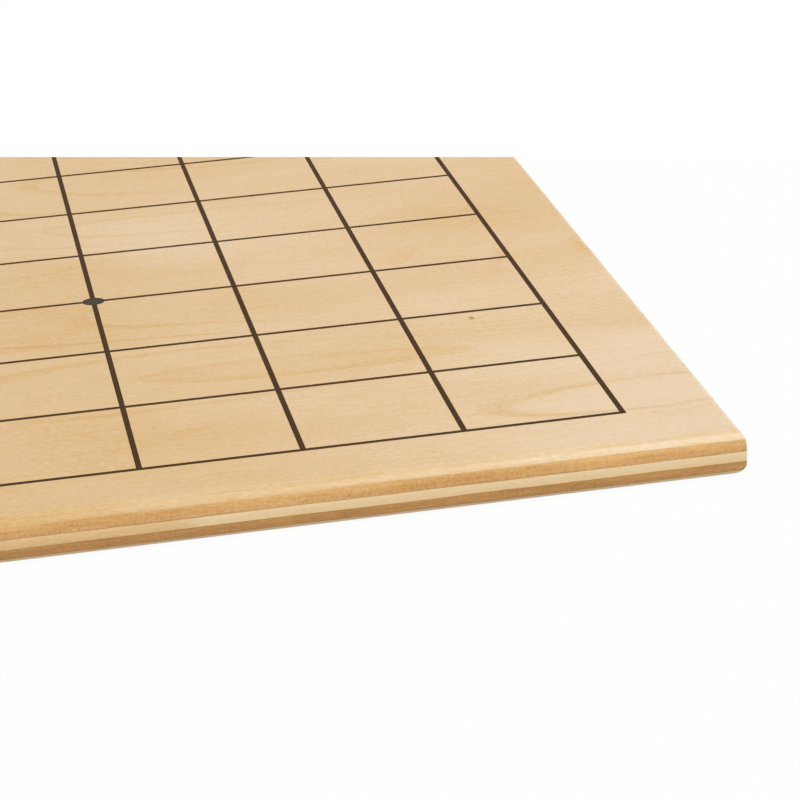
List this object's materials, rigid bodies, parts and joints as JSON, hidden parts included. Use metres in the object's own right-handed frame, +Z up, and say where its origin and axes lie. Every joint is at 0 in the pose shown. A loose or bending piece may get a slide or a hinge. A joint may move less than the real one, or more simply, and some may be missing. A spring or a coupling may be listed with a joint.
{
  "type": "go board",
  "caption": "Flat plywood go board with rounded edges and a printed playing grid with star points, laid on a table to play on.",
  "frame": {"origin": "centre of the underside, on the table that the board lies on", "axes": "+Z up out of the playing face, +X to the right along the front edge, +Y away from the front edge along the longer sides"},
  "size_m": [0.4232, 0.4524, 0.0062],
  "materials": {
    "birch_face": "satin",
    "birch_inner": "satin",
    "birch_crossband": "satin",
    "glue": "satin",
    "ink": "satin"
  },
  "bodies": {
    "root": {"back_veneer": "birch_face", "back_glue_line": "glue", "lower_crossband": "birch_crossband", "lower_core_glue_line": "glue", "core_veneer": "birch_inner", "upper_core_glue_line": "glue", "upper_crossband": "birch_crossband", "face_glue_line": "glue", "face_veneer": "birch_face", "grid_lines": "ink", "star_point_front_left": "ink", "star_point_front_centre": "ink", "star_point_front_right": "ink", "star_point_middle_left": "ink", "star_point_middle_centre": "ink", "star_point_middle_right": "ink", "star_point_back_left": "ink", "star_point_back_centre": "ink", "star_point_back_right": "ink"}
  },
  "joints": []
}
